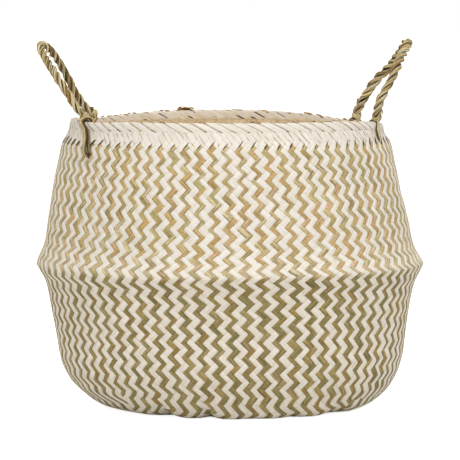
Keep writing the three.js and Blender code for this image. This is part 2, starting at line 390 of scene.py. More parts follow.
class Plait:
    """One layer of plait: count strips each way, pitch apart, depth under the outer line."""

    def __init__(self, count, pitch, depth, ring_run):
        self.count, self.side, self.depth, self.ring_run = count, count // 4, depth, ring_run
        above = run[run >= ring_run]
        across = math.tau * np.interp(above, run, wall_radius) / count
        unit = 1 / np.sqrt(1 / pitch ** 2 - 1 / across ** 2)
        for place, reach, share in closer_rows:
            unit *= 1 - share * np.exp(-(((above - place) / reach) ** 2))
        self.run_at = above
        self.up_at = np.concatenate([[0], np.cumsum(np.diff(above) * 2 / (unit[1:] + unit[:-1]))])

    def up(self, along_run):
        """How many places up the plait this run is."""
        return float(np.interp(along_run, self.run_at, self.up_at))

    def flat_spot(self, x, y):
        """Azimuth and run of a point of the square base, which is drawn out to a disc."""
        a, b = x - self.side / 2, y - self.side / 2
        wide = np.abs(a) > np.abs(b)
        reach = np.where(wide, a, b)
        safe = np.where(reach == 0, 1, reach)
        turn = np.where(wide, math.pi / 4 * b / safe, math.pi / 2 - math.pi / 4 * a / safe)
        azimuth = turn + np.where(reach < 0, math.pi, 0)
        azimuth = (azimuth + math.pi) % math.tau - math.pi
        return azimuth, np.abs(reach) / (self.side / 2) * self.ring_run

    def spot(self, falling, rising):
        """Azimuth and run of a point of the plait, numbered in both directions."""
        around, up = (falling + rising) / 2, (falling - rising) / 2
        azimuth = -math.pi / 2 + (around - self.side / 2) * math.tau / self.count
        along_run = np.interp(up, self.up_at, self.run_at)
        side = np.floor(around / self.side)
        x, y = around - side * self.side, -up
        quarter = (side % 4).astype(int)
        square_x = np.choose(quarter, [x, self.side - y, self.side - x, y])
        square_y = np.choose(quarter, [y, x, self.side - y, self.side - x])
        flat_azimuth, flat_run = self.flat_spot(square_x, square_y)
        azimuth = (azimuth + math.pi) % math.tau - math.pi
        under = up < 0
        return np.where(under, flat_azimuth, azimuth), np.where(under, flat_run, along_run)


# %% [markdown]
# ## Strips along wires, with Geometry Nodes
# A strip is a wire that carries its own section: vectors from its centre line to its left and
# right edge and the direction that its flat side faces. One node tree sweeps a small ring
# along all the wires of a piece at once and moves its corners to those edges. That keeps each
# strip's edges exactly along its neighbours', which a plain curve bevel can't. The ring has five
# corners, one at each edge of the strip, two on its face and one under it.

# %% Tree that sweeps strips
sweep = bpy.data.node_groups.new("sweep_strips", "GeometryNodeTree")
for label, kind in (("Wires", "Geometry"), ("Half thickness", "Float"), ("Corners", "Int"),
                    ("Corner reach", "Float"), ("Finish", "Material")):
    sweep.interface.new_socket(label, in_out="INPUT", socket_type="NodeSocket" + kind)
sweep.interface.new_socket("Strips", in_out="OUTPUT", socket_type="NodeSocketGeometry")
given = add_node(sweep, "NodeGroupInput")
where = add_node(sweep, "GeometryNodeInputPosition")
wires = add_node(sweep, "GeometryNodeMeshToCurve", None, {"Mesh": given.outputs["Wires"]})
ring = add_node(sweep, "GeometryNodeCurvePrimitiveCircle", {"mode": "RADIUS"},
                {"Resolution": given.outputs["Corners"], "Radius": 1})
ring = add_node(sweep, "GeometryNodeTransform", None,
                {"Geometry": ring, "Rotation": (0, 0, -math.pi / 2)})
wires, ring = (add_node(sweep, "GeometryNodeStoreNamedAttribute",
                        {"data_type": "FLOAT_VECTOR", "domain": "POINT"},
                        {"Geometry": line, "Name": name, "Value": where})
               for line, name in ((wires, "centre"), (ring, "corner")))
swept = add_node(sweep, "GeometryNodeCurveToMesh", None,
                 {"Curve": wires, "Profile Curve": ring, "Fill Caps": True})
carried = {name: add_node(sweep, "GeometryNodeInputNamedAttribute", {"data_type": "FLOAT_VECTOR"},
                          {"Name": name}).outputs["Attribute"]
           for name in ("centre", "corner", "left_edge", "right_edge", "facing")}
corner = add_node(sweep, "ShaderNodeSeparateXYZ", None, {0: carried["corner"]})
sideways = add_node(sweep, "ShaderNodeMath", {"operation": "MULTIPLY"},
                    {0: corner.outputs["X"], 1: given.outputs["Corner reach"]})
to_right = add_node(sweep, "ShaderNodeMath", {"operation": "MAXIMUM"}, {0: sideways, 1: 0.0})
to_left = add_node(sweep, "ShaderNodeMath", {"operation": "MULTIPLY"}, {0: sideways, 1: -1.0})
to_left = add_node(sweep, "ShaderNodeMath", {"operation": "MAXIMUM"}, {0: to_left, 1: 0.0})
proud = add_node(sweep, "ShaderNodeMath", {"operation": "MULTIPLY"},
                 {0: corner.outputs["Y"], 1: given.outputs["Half thickness"]})
place = carried["centre"]
for name, share in (("right_edge", to_right), ("left_edge", to_left), ("facing", proud)):
    step = add_node(sweep, "ShaderNodeVectorMath", {"operation": "SCALE"},
                    {0: carried[name], "Scale": share})
    place = add_node(sweep, "ShaderNodeVectorMath", {"operation": "ADD"}, {0: place, 1: step})
swept = add_node(sweep, "GeometryNodeStoreNamedAttribute", {"data_type": "FLOAT", "domain": "POINT"},
                 {"Geometry": swept, "Name": "across", "Value": sideways})
swept = add_node(sweep, "GeometryNodeSetPosition", None, {"Geometry": swept, "Position": place})
for name in carried:
    swept = add_node(sweep, "GeometryNodeRemoveAttribute", None, {"Geometry": swept, "Name": name})
# the ends of a strip stay crisp, as edges that bend by more than this angle do
crisp_angle = 1.0
bend = add_node(sweep, "GeometryNodeInputMeshEdgeAngle")
crisp = add_node(sweep, "ShaderNodeMath", {"operation": "GREATER_THAN"}, {0: bend, 1: crisp_angle})
swept = add_node(sweep, "GeometryNodeSetShadeSmooth", None, {"Geometry": swept})
swept = add_node(sweep, "GeometryNodeSetShadeSmooth", {"domain": "EDGE"},
                 {"Geometry": swept, "Selection": crisp, "Shade Smooth": False})
swept = add_node(sweep, "GeometryNodeRealizeInstances", None, {"Geometry": swept})
swept = add_node(sweep, "GeometryNodeSetMaterial", None,
                 {"Geometry": swept, "Material": given.outputs["Finish"]})
add_node(sweep, "NodeGroupOutput", None, {"Strips": swept})
# The widest corners of a ring of five are 0.95 of its radius out, so they reach 1.05 times as far
ring_corners, corner_reach = 5, 1.05


# %% Pieces from wires
def join_runs(groups):
    """One set of wires from several, each a dict of arrays with a row for each strip."""
    joined = {name: np.concatenate([group[name].reshape(-1, *group[name].shape[2:])
                                    for group in groups]) for name in groups[0]}
    joined["lengths"] = [group["centre"].shape[1] for group in groups for _ in group["centre"]]
    return joined


def count_and_volume(solid):
    """How many triangles a mesh has, and its volume in cubic metres."""
    solid.calc_loop_triangles()
    at = np.zeros(len(solid.vertices) * 3)
    solid.vertices.foreach_get("co", at)
    triangles = np.zeros(len(solid.loop_triangles) * 3, np.int32)
    solid.loop_triangles.foreach_get("vertices", triangles)
    a, b, c = at.reshape(-1, 3)[triangles.reshape(-1, 3)].transpose(1, 0, 2)
    return len(triangles) // 3, np.einsum("ij,ij->i", a, np.cross(b, c)).sum() / 6


def make_piece(name, groups, finish, half_thickness):
    """Sweeps groups of wires to one plain mesh at the origin."""
    wires = join_runs(groups)
    ends = np.cumsum(wires["lengths"])
    starts = ends - wires["lengths"]
    links = np.concatenate([np.arange(a, b - 1) for a, b in zip(starts, ends)])
    mesh = bpy.data.meshes.new(name)
    mesh.vertices.add(len(wires["centre"]))
    mesh.vertices.foreach_set("co", wires["centre"].astype(np.float32).ravel())
    mesh.edges.add(len(links))
    mesh.edges.foreach_set("vertices", np.stack([links, links + 1], axis=1).astype(np.int32).ravel())
    for label in ("left_edge", "right_edge", "facing"):
        attribute = mesh.attributes.new(label, "FLOAT_VECTOR", "POINT")
        attribute.data.foreach_set("vector", wires[label].astype(np.float32).ravel())
    for label in ("along", "height", "tint", "crease"):
        attribute = mesh.attributes.new(label, "FLOAT", "POINT")
        attribute.data.foreach_set("value", wires[label].astype(np.float32).ravel())
    piece = bpy.data.objects.new(name, mesh)
    scene.collection.objects.link(piece)
    modifier = piece.modifiers.new("sweep", "NODES")
    modifier.node_group = sweep
    settings = {"Half thickness": half_thickness, "Corners": ring_corners,
                "Corner reach": corner_reach, "Finish": finish}
    for item in sweep.interface.items_tree:
        if item.in_out == "INPUT" and item.name in settings:
            modifier[item.identifier] = settings[item.name]
    bpy.context.view_layer.update()
    evaluated = piece.evaluated_get(bpy.context.evaluated_depsgraph_get())
    solid = bpy.data.meshes.new_from_object(evaluated)
    piece.modifiers.clear()
    piece.data = solid
    solid.name = name
    bpy.data.meshes.remove(mesh)
    count, volume = count_and_volume(solid)
    print(f"{name}: {len(wires['lengths'])} strips, {count} triangles, {volume * 1e6:.1f} cm3")
    return piece


def sections(middle, left, right, facing, tint, crease=0.0):
    """Wires from points, as rows of strips. Along, facing and right make a right-handed set.
    Tint picks the colour, and the last value is 1 where a strip lies down between others, where
    painted shade darkens its colour."""
    steps = np.linalg.norm(np.diff(middle, axis=1), axis=-1)
    along = np.concatenate([np.zeros((len(middle), 1)), np.cumsum(steps, axis=1)], axis=1)
    return {"centre": middle, "left_edge": left - middle, "right_edge": right - middle,
            "facing": facing, "along": along, "height": middle[..., 2],
            "tint": np.broadcast_to(tint, along.shape).copy(),
            "crease": np.broadcast_to(crease, along.shape).copy()}


# %% [markdown]
# ## Seagrass, white and natural
# Dried seagrass is a flat, slightly ribbed leaf strip with a silky matt face. The white strips
# are bleached and almost even. The natural ones run from olive green to tan, gold and pinkish
# brown, one strip to the next, and each changes along its length and is greener low down. Below
# the fold the natural strips are also drawn darker, with painted shade, and the white ones a
# little paler, with painted light. Fine ribs run lengthwise. The patterns use each strip's own
# attributes, along in metres, across from edge to edge and a random tint, so they follow the
# strips round every bend.

# %% Seagrass finishes
# painted light pales the strips just above the fold by this share towards this colour, and painted
# shade darkens a strip in a crease to this level
fold_light_share, fold_light_colour, crease_shade_dark = 0.2, "#FFF6E2", 0.22


def make_seagrass(name, palette, low_palette=None, *, rib_dark, edge_shade_dark, roughness, tint_spread,
                  flecks=0.9):
    """Strip finish: a palette by tint, low_palette below the fold, painted light just above the fold,
    darker ribs and flecks, and painted shade along the edges and in creases.
    """
    finish = bpy.data.materials.new(name)
    finish.use_nodes = True
    tree = finish.node_tree
    shader = tree.nodes["Principled BSDF"]

    add = functools.partial(add_node, tree)
    along, across, tint, height, crease = (
        add("ShaderNodeAttribute", {"attribute_name": label}).outputs["Fac"]
        for label in ("along", "across", "tint", "height", "crease"))

    def strip_noise(along_rate, across_rate, detail, offset=0.0):
        """Noise that is stretched along the strip and differs from strip to strip."""
        spot = add("ShaderNodeCombineXYZ", None, {
            "X": add("ShaderNodeMath", {"operation": "MULTIPLY"}, {0: across, 1: across_rate}),
            "Y": add("ShaderNodeMath", {"operation": "MULTIPLY"}, {0: along, 1: along_rate}),
            "Z": add("ShaderNodeMath", {"operation": "MULTIPLY_ADD"}, {0: tint, 1: 91.7, 2: offset})})
        return add("ShaderNodeTexNoise", {"noise_dimensions": "3D"},
                   {"Vector": spot, "Scale": 1.0, "Detail": detail, "Roughness": 0.6})

    # one strip of grass changes its colour over about 40 mm
    wander = add("ShaderNodeMath", {"operation": "SUBTRACT"}, {0: strip_noise(26, 0.7, 2), 1: 0.5})
    choice = add("ShaderNodeMath", {"operation": "MULTIPLY_ADD"}, {0: wander, 1: tint_spread, 2: tint})
    choice = add("ShaderNodeMath", {"operation": "ADD"}, {0: choice, 1: 1.0})
    choice = add("ShaderNodeMath", {"operation": "FRACT"}, {0: choice})
    high, low = (add("ShaderNodeValToRGB", None, {"Fac": choice}, even_stops(colours))
                 for colours in (palette, low_palette or palette))
    # each is 0 at its first height and 1 at its second
    below_fold, above_fold, near_fold = (
        add("ShaderNodeMapRange", None, {"Value": height, "From Min": first, "From Max": second})
        for first, second in ((0.1560, 0.1515), (0.1515, 0.1565), (0.180, 0.160)))
    colour = add("ShaderNodeMix", {"data_type": "RGBA"}, {"Factor": below_fold, 6: high, 7: low})
    # painted light: just above the fold the strips are drawn paler, where the light from above falls
    # on the top of the fold
    painted_fold_light = add("ShaderNodeMath", {"operation": "MULTIPLY"}, {0: above_fold, 1: near_fold})
    painted_fold_light = add("ShaderNodeMath", {"operation": "MULTIPLY"}, {0: painted_fold_light, 1: fold_light_share})
    colour = add("ShaderNodeMix", {"data_type": "RGBA"},
                 {"Factor": painted_fold_light, 6: colour.outputs[2], 7: linear(fold_light_colour)})
    # ribs are 0.5 mm apart on the real strip, and drawn 1.2 mm apart so that they show
    ribs = strip_noise(22, 2.8, 3, 5.0)
    # painted shade: a dark line comes and goes along each edge, where shade falls in the gap between
    # strips
    edge = add("ShaderNodeMath", {"operation": "ABSOLUTE"}, {0: across})
    edge = add("ShaderNodeMath", {"operation": "POWER"}, {0: edge, 1: 6.0})
    side = add("ShaderNodeMath", {"operation": "GREATER_THAN"}, {0: across, 1: 0.0})
    side = add("ShaderNodeMath", {"operation": "MULTIPLY"}, {0: side, 1: 40.0})
    breaks = add("ShaderNodeValToRGB", None, {"Fac": strip_noise(110, 0.0, 1, side)},
                 grey_stops((0.42, 0.0), (0.62, 1.0)))
    edge = add("ShaderNodeMath", {"operation": "MULTIPLY"}, {0: edge, 1: breaks})
    # small flecks where the leaf's skin is worn, about 2 mm long
    worn_spots = strip_noise(420, 3.5, 2, 9.0)
    # the crease value paints shade on a strip that lies between others
    for pattern, stops in ((ribs, grey_stops((0.36, rib_dark), (0.53, 1.0))),
                           (edge, grey_stops((0.0, 1.0), (1.0, edge_shade_dark))),
                           (crease, grey_stops((0.0, 1.0), (1.0, crease_shade_dark))),
                           (worn_spots, grey_stops((0.38, flecks), (0.62, 1.0)))):
        shade = add("ShaderNodeValToRGB", None, {"Fac": pattern}, stops)
        colour = add("ShaderNodeMix", {"data_type": "RGBA", "blend_type": "MULTIPLY"},
                     {"Factor": 1.0, 6: colour.outputs[2], 7: shade})
    tree.links.new(colour.outputs[2], shader.inputs["Base Color"])
    shader.inputs["Roughness"].default_value = roughness
    shader.inputs["Specular IOR Level"].default_value = 0.3
    bump = add("ShaderNodeBump", None, {"Height": ribs, "Strength": 0.35, "Distance": 0.0004})
    tree.links.new(bump.outputs[0], shader.inputs["Normal"])
    return finish


# Below the fold the natural palette is greener and also darker with painted shade, and the white
# palette is a little paler with painted light
natural_palette = ["#DCC086", "#ECD4A2", "#BAAE70", "#E7C488", "#C7B57A", "#EEC195", "#DAC799",
                   "#C4BA7A", "#F8E3B9", "#AD9C66", "#E4B97A", "#D1BE8A"]
natural_low_shaded_palette = ["#AA9A62", "#9B915C", "#BDAC75", "#BBA462", "#A88D50", "#B19C6A", "#8D8550",
                       "#B5A26A", "#908954", "#C2B080", "#B29251", "#A29A67"]
white_palette = ["#F2EEE6", "#F0EBE2", "#F4F0EA", "#EEE8DD", "#F3EEE6"]
white_low_lit_palette = ["#F5EFE5", "#F3ECE1", "#F8F2E9", "#F0E8DC", "#F6F0E6"]
natural_seagrass = make_seagrass("natural_seagrass_strip", natural_palette, natural_low_shaded_palette,
                                 rib_dark=0.55, edge_shade_dark=0.28, roughness=0.62, tint_spread=0.6,
                                 flecks=0.68)
white_seagrass = make_seagrass("bleached_seagrass_strip", white_palette, white_low_lit_palette,
                               rib_dark=0.86, edge_shade_dark=0.6, roughness=0.6, tint_spread=0.4)
# painted light: the lining's natural tan is drawn paler, to lift the shade inside the mouth
lining_lit_palette = ["#F1DEBD", "#E5D0AC", "#FAE9CD", "#EDD9B7", "#F6E3C4", "#E0C9A1"]
natural_lining = make_seagrass("lining_seagrass_strip", lining_lit_palette,
                               rib_dark=0.75, edge_shade_dark=0.85, roughness=0.65, tint_spread=0.4)
# painted shadow: a dark brown for slivers that stand for holes and gaps in shade
shadow_palette = ["#4A3A20", "#5E4A28", "#3E311C", "#6A5630"]
shadow_seagrass = make_seagrass("painted_shadow_seagrass", shadow_palette,
                              rib_dark=0.6, edge_shade_dark=0.7, roughness=0.7, tint_spread=0.4)
golden_palette = ["#BE9552", "#D4A863", "#A68449", "#D8BC82", "#957743"]
golden_seagrass = make_seagrass("golden_seagrass_sliver", golden_palette,
                                rib_dark=0.6, edge_shade_dark=0.8, roughness=0.65, tint_spread=0.4)
# painted light: the inner strips of the edging are natural grass drawn pale cream, to lift the shade
# inside the mouth
inner_lit_palette = ["#FCEFD7", "#F6E6C9", "#FFF6E3", "#EFDFBF", "#F9EBCF"]
inner_seagrass = make_seagrass("edging_inner_strip", inner_lit_palette,
                               rib_dark=0.85, edge_shade_dark=0.75, roughness=0.65, tint_spread=0.4)
rope_palette = ["#F5D89F", "#BD9B5A", "#FFFFCF", "#E3C68D", "#8F6C35", "#FFEBB5", "#ECD094", "#FFFFE3",
                "#B29355", "#FEE3AC"]
rope_seagrass = make_seagrass("rope_seagrass_blade", rope_palette,
                              rib_dark=0.5, edge_shade_dark=0.48, roughness=0.65, tint_spread=0.3,
                              flecks=0.75)
binding_palette = ["#D8C8A0", "#C6B184", "#E0D2AE", "#B8A070"]
binding_seagrass = make_seagrass("binding_seagrass_strip", binding_palette,
                                 rib_dark=0.75, edge_shade_dark=0.8, roughness=0.6, tint_spread=0.4)

# %% [markdown]
# ## The patterned plait
# White and natural strips take turns in both directions, which turns the twill into upright
# zigzag columns. A natural strip is a little narrower than its place and the white ones fill
# the rest, so the boundary between two strips is what varies, by a smooth wave along it.

# %% Strips of the patterned wall
def strip_traits(count):
    """What makes each strip its own: how narrow it is, how that varies, and its tint."""
    return {"half": np.clip(random.normal(0.44, 0.08, count), 0.27, 0.62),
            "swell": random.uniform(0.015, 0.055, count), "rate": random.uniform(0.15, 0.5, count),
            "phase": random.uniform(0, math.tau, count), "tint": random.uniform(0, 1, count),
            "drift": random.uniform(0.006, 0.022, count), "slow": random.uniform(0.1, 0.35, count)}


def boundary(traits, natural_parity, number, other):
    """How far the boundary before strip number is shifted, at place other along it."""
    count = len(traits["half"])
    number = number % count
    natural = np.where(number % 2 == natural_parity, number, (number - 1) % count)
    toward = np.where(number % 2 == natural_parity, 1, -1)
    half = traits["half"][natural] + traits["swell"][natural] * np.sin(
        traits["rate"][natural] * other + traits["phase"][natural])
    drift = traits["drift"][number] * np.sin(traits["slow"][number] * other + traits["phase"][number])
    return toward * (0.5 - np.clip(half, 0.28, 0.64)) + drift


# As shares of a strip's place: the gap to the next one, and how soon it has come up or gone down
strip_gap, turn_share = 0.012, 0.2
# Metres above or below the middle of the plait, there and midway over two strips
over_lift, crown_lift = 0.00025, 0.00029


def row_lifts(first_row, rows, over_rows):
    """Lift at three places a row: where the row starts, soon after, and soon before its end."""
    over = np.isin(np.arange(first_row - 1, first_row + rows + 1) % 4, over_rows)
    state = np.where(over, 1.0, -1.0)
    start = np.where(state[1:] == state[:-1], state[1:] * crown_lift, 0)
    inner = state[1:-1] * over_lift
    lifts = np.empty(3 * rows + 1)
    lifts[0::3], lifts[1::3], lifts[2::3] = start, inner, inner
    return lifts


def wall_strips(plait, own, other, numbers, falls, first_row, rows, own_parity, other_parity,
                over_rows, lift_scale=1.0):
    """The wires of the strips with these numbers over some rows of the wall."""
    count = plait.count
    numbers = np.asarray(numbers)[:, None]
    edge_rows = first_row + np.arange(rows + 1)[None, :]
    crossed = numbers + 1 - edge_rows if falls else numbers + edge_rows
    at = crossed + boundary(other, other_parity, crossed, numbers + 0.5)
    step = -1 if falls else 1
    places = np.empty((len(numbers), 3 * rows + 1))
    places[:, 0::3] = at
    places[:, 1::3] = at[:, :-1] + step * turn_share
    places[:, 2::3] = at[:, 1:] - step * turn_share
    low = numbers + boundary(own, own_parity, numbers, places) + strip_gap / 2
    high = numbers + 1 + boundary(own, own_parity, numbers + 1, places) - strip_gap / 2
    lift = row_lifts(first_row, rows, over_rows)[None, :] * lift_scale - plait.depth

    def point(own_place, lift):
        spots = plait.spot(own_place, places) if falls else plait.spot(places, own_place)
        return settle(*spots, lift), spots

    middle, spots = point((low + high) / 2, lift)
    return sections(middle, point(high, lift)[0], point(low, lift)[0], outward(*spots),
                    own["tint"][numbers[:, 0] % count][:, None])


strip_count, strip_pitch, outer_depth = 148, 0.00584, 0.0011
# The strips begin to climb a little further up the wall than where it has this radius
ring_radius, past_ring = 0.1665, 0.0066
widening = run < 0.25
ring_run = float(np.interp(ring_radius, wall_radius[widening], run[widening])) + past_ring
outer = Plait(strip_count, strip_pitch, outer_depth, ring_run)
print(f"rows to the fold {2 * outer.up(crease_run):.1f}, "
      f"to the band {2 * outer.up(band_foot_run):.1f}, to the edging {2 * outer.up(run[-1]):.1f}")
falling_traits, rising_traits = strip_traits(strip_count), strip_traits(strip_count)
# Which rows of four a strip lies on top in, and how many rows the pattern has
falling_over, rising_over = (2, 3), (0, 1)
pattern_rows = 69
every_strip = np.arange(strip_count)
# The patterned wall is made thicker and in higher relief than the rest, as its soft strips bulge
strip_thickness, wall_thickness, wall_relief = 0.00052, 0.0007, 1.5


def patterned_piece(name, falls, white, finish):
    """The wall's strips of one direction and one colour."""
    own, other = (falling_traits, rising_traits) if falls else (rising_traits, falling_traits)
    parity = (0 if falls else 1) if white else (1 if falls else 0)
    numbers = every_strip[every_strip % 2 == parity]
    natural_own, natural_other = (1, 0) if falls else (0, 1)
    wires = wall_strips(outer, own, other, numbers, falls, 0, pattern_rows, natural_own,
                        natural_other, falling_over if falls else rising_over, wall_relief)
    return make_piece(name, [wires], finish, wall_thickness / 2)


patterned_wall = [
    patterned_piece("wall_strips_falling_white", True, True, white_seagrass),
    patterned_piece("wall_strips_falling_natural", True, False, natural_seagrass),
    patterned_piece("wall_strips_rising_white", False, True, white_seagrass),
    patterned_piece("wall_strips_rising_natural", False, False, natural_seagrass)]


def across_fold(pieces, slot, *nodes):
    """These pieces hang between the bowl and the rim; their place is baked into their meshes, and they
    stand for these solids.
    """
    for piece in pieces:
        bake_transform(piece)
        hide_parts(*nodes)


def on_body(piece, body, slot, *nodes):
    """This piece rides on one body and stands for these solids."""
    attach(piece, body)
    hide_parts(*nodes)


across_fold(patterned_wall, "patterned_plait", "lower_wall_plait", "upper_wall_plait")

# %% [markdown]
# ## The base
# Under the basket the same strips lie as the square they were started from, at 45 degrees to
# its sides. The square is drawn out to a disc, so its rings of zigzag run on from the wall.
# Colours stay with the strips: two white ones meet in the middle of one direction.

# %% Strips of the base
# A strip's ends tuck in under the ring, and a white strip is a little wider than its place
tuck_lift, tuck_reach, white_wider = -0.0004, 0.35, 0.07


def base_group(plait, first_way, number, white_at, lift_scale, tint):
    """The wire of one strip of the base, from ring to ring, or None where it is too short."""
    side = plait.side
    reach = side - abs(number) if first_way else min(number, 2 * side - number)
    if reach < 1:
        return None
    middle_other = side if first_way else 0
    edges = middle_other + np.arange(-(reach - 0.5), reach, 1.0)
    rows = len(edges) - 1
    crossed = (edges[:-1] + edges[1:]) / 2
    first, second = (number, crossed) if first_way else (crossed, number)
    x, y = (first + second) / 2, (second - first) / 2
    to_x, to_y = np.minimum(x, side - x), np.minimum(y, side - y)
    falling_above = np.isin(np.round(-2 * np.minimum(to_x, to_y)).astype(int) % 4, falling_over)
    over = falling_above == ((to_y < to_x) == first_way)
    state = np.where(np.concatenate([over[:1], over, over[-1:]]), 1.0, -1.0)
    lifts = np.empty(3 * rows + 3)
    lifts[1:-1:3] = np.where(state[1:] == state[:-1], state[1:] * crown_lift, 0)
    lifts[2:-1:3], lifts[3:-1:3] = state[1:-1] * over_lift, state[1:-1] * over_lift
    lifts[0] = lifts[-1] = tuck_lift
    places = np.empty(3 * rows + 3)
    places[1:-1:3] = edges
    places[2:-1:3], places[3:-1:3] = edges[:-1] + turn_share, edges[1:] - turn_share
    places[0], places[-1] = edges[0] - tuck_reach, edges[-1] + tuck_reach

    def shift(edge):
        before, after = white_at(edge - 0.5), white_at(edge + 0.5)
        return 0 if before == after else white_wider * (1 if before else -1)

    low = number - 0.5 + shift(number - 0.5) + strip_gap / 2
    high = number + 0.5 + shift(number + 0.5) - strip_gap / 2

    def point(own_place):
        a, b = (own_place, places) if first_way else (places, own_place)
        spots = plait.flat_spot((a + b) / 2, (b - a) / 2)
        return settle(*spots, lifts * lift_scale - plait.depth), outward(*spots)

    middle, facing = point(np.full_like(places, (low + high) / 2))
    ends = point(np.full_like(places, low))[0], point(np.full_like(places, high))[0]
    left, right = ends if first_way else ends[::-1]
    return sections(middle[None], left[None], right[None], facing[None], np.full((1, 1), tint))


def base_groups(plait, white_wanted, first_white, second_white, lift_scale=1.0):
    """Wires of all strips of the base in both directions, of one colour or of any."""
    groups = []
    for first_way, white_at in ((True, first_white), (False, second_white)):
        start = 0.5 - plait.side if first_way else 0.5
        for number in np.arange(start, start + 2 * plait.side):
            if white_wanted is None or white_at(number) == white_wanted:
                groups.append(base_group(plait, first_way, number, white_at, lift_scale,
                                         random.uniform()))
    return [group for group in groups if group]


def first_way_white(number):
    """Two white strips meet in the middle of this direction."""
    return math.floor(abs(number)) % 2 == 0


def second_way_white(number):
    """Two natural strips meet in the middle of this direction."""
    return math.floor(number) % 2 == (1 if number < outer.side else 0)


for name, white, finish in (("base_strips_white", True, white_seagrass),
                            ("base_strips_natural", False, natural_seagrass)):
    groups = base_groups(outer, white, first_way_white, second_way_white)
    base_strips = make_piece(name, groups, finish, strip_thickness / 2)
    on_body(base_strips, "bowl", "patterned_plait", "base_plait")

# %% [markdown]
# ## The lining
# Inside the patterned plait lies a second one of wider, all natural strips. Only its top shows
# in the photograph, above the front of the mouth, so its strip width is a guess from there.

# %% Lining
lining_count, lining_pitch, lining_depth = 100, 0.0086, 0.0033
lining = Plait(lining_count, lining_pitch, lining_depth, ring_run)
lining_own, lining_other = strip_traits(lining_count), strip_traits(lining_count)
lining_foot_rows = int(2 * lining.up(band_foot_run))
lining_top_rows = round(2 * lining.up(run[-1])) + 1
lining_thickness = 0.0006


def lining_wires(first_row, rows):
    """The falling and the rising strips of the lining over some rows."""
    return [wall_strips(lining, own, other, np.arange(lining_count), falls, first_row, rows,
                        own_parity=1, other_parity=1, over_rows=over_rows, lift_scale=0.8)
            for own, other, falls, over_rows in ((lining_own, lining_other, True, falling_over),
                                                 (lining_other, lining_own, False, rising_over))]


lining_wall = [make_piece(f"lining_strips_{way}", [wires], natural_lining, lining_thickness / 2)
               for way, wires in zip(("falling", "rising"), lining_wires(0, lining_foot_rows))]
across_fold(lining_wall, "natural_lining", "lining_lower_wall", "lining_upper_wall")
lining_band = make_piece("lining_strips_band",
                         lining_wires(lining_foot_rows, lining_top_rows - lining_foot_rows),
                         natural_lining, lining_thickness / 2)
on_body(lining_band, "rim", "natural_lining", "rim_band_lining")
lining_floor = make_piece("lining_strips_base",
                          base_groups(lining, None, lambda n: True, lambda n: True),
                          natural_lining, lining_thickness / 2)
on_body(lining_floor, "bowl", "natural_lining", "lining_base")

# %% [markdown]
# ## The white band
# At the neck each natural strip is swapped for a white one while it is under its neighbours, so
# the same plait runs on, all white, up to the edging. That is why the zigzag ends in teeth.

# %% Band
band_rows = 5
band_groups = [wall_strips(outer, own, other, every_strip, falls, pattern_rows, band_rows, parity,
                           1 - parity, over_rows)
               for own, other, falls, parity, over_rows in (
                   (falling_traits, rising_traits, True, 1, falling_over),
                   (rising_traits, falling_traits, False, 0, rising_over))]
band = make_piece("band_strips", band_groups, white_seagrass, strip_thickness / 2)
on_body(band, "rim", "white_plait", "rim_band_plait")

# %% [markdown]
# Where the natural strips stop, dark slivers along the upper left of the last tooth paint the
# shadow in the gaps where they tuck under. In the band, slivers of natural strip show in some
# gaps between the falling white strips, most of them towards the right.

# %% Slivers between strips
sliver_points = 9


def slivers(falls, numbers, first_rows, row_count, half_width, lift):
    """Narrow strips that lie on the boundaries with these numbers, over some rows each."""
    numbers, first_rows = np.asarray(numbers)[:, None], np.asarray(first_rows)[:, None]
    rows = first_rows + row_count * np.linspace(0, 1, sliver_points)[None, :]
    places = numbers + (-rows if falls else rows)
    own, other = (falling_traits, rising_traits) if falls else (rising_traits, falling_traits)
    own_place = numbers + boundary(own, 1 if falls else 0, numbers, places)
    taper = np.sin(np.linspace(0.25, math.pi - 0.1, sliver_points))[None, :] * half_width

    def point(own_place):
        spots = outer.spot(own_place, places) if falls else outer.spot(places, own_place)
        return settle(*spots, lift - outer.depth), spots

    middle, spots = point(own_place)
    return sections(middle, point(own_place + taper)[0], point(own_place - taper)[0], outward(*spots),
                    random.uniform(0, 1, (len(numbers), 1)))


# How many places a strip has moved on round the basket, at the pattern's end and in the band
tip_places, gap_places = 34.25, 36
tips = every_strip[every_strip % 2 == 0]
tip_angles = (tips + tip_places - outer.side / 2) * math.tau / strip_count - math.pi / 2
tip_degrees = np.degrees(np.arctan2(np.sin(tip_angles), np.cos(tip_angles)))
# The painted shadows at the tops of the teeth are widest at the far left and towards the right
wider = (0.40 * np.exp(-((tip_degrees % 360 - 193) / 22) ** 2)
         + 0.26 * np.exp(-((tip_degrees + 16) / 14) ** 2))
# painted shadow: a dark sliver at the top of each tooth
tip_shadow_wires = slivers(False, tips, pattern_rows - 1.2 + random.uniform(-0.1, 0.2, len(tips)),
                   random.uniform(1.3, 2.1, (len(tips), 1)),
                   half_width=(random.uniform(0.05, 0.16, len(tips)) + wider)[:, None],
                   lift=0.00088)
tip_shadow_piece = make_piece("tooth_tip_shadow_slivers", [tip_shadow_wires], shadow_seagrass, half_thickness=0.00012)
gap_rows = []
for number in every_strip:
    azimuth = (number - gap_places - outer.side / 2) * 360 / strip_count - 90
    rightness = math.exp(-(((azimuth + 28) / 34) ** 2))
    for first in (68.6, 70.3, 71.6):
        if random.uniform() < 0.22 + 0.6 * rightness:
            gap_rows.append((number, first + random.uniform(-0.4, 0.4)))
gap_numbers, gap_firsts = np.array(gap_rows).T
gap_slivers = slivers(True, gap_numbers.astype(int), gap_firsts,
                      random.uniform(0.8, 2.0, (len(gap_rows), 1)),
                      half_width=random.uniform(0.03, 0.09, (len(gap_rows), 1)), lift=0.00058)
band_slivers = make_piece("band_gap_slivers", [gap_slivers], golden_seagrass, half_thickness=0.0001)
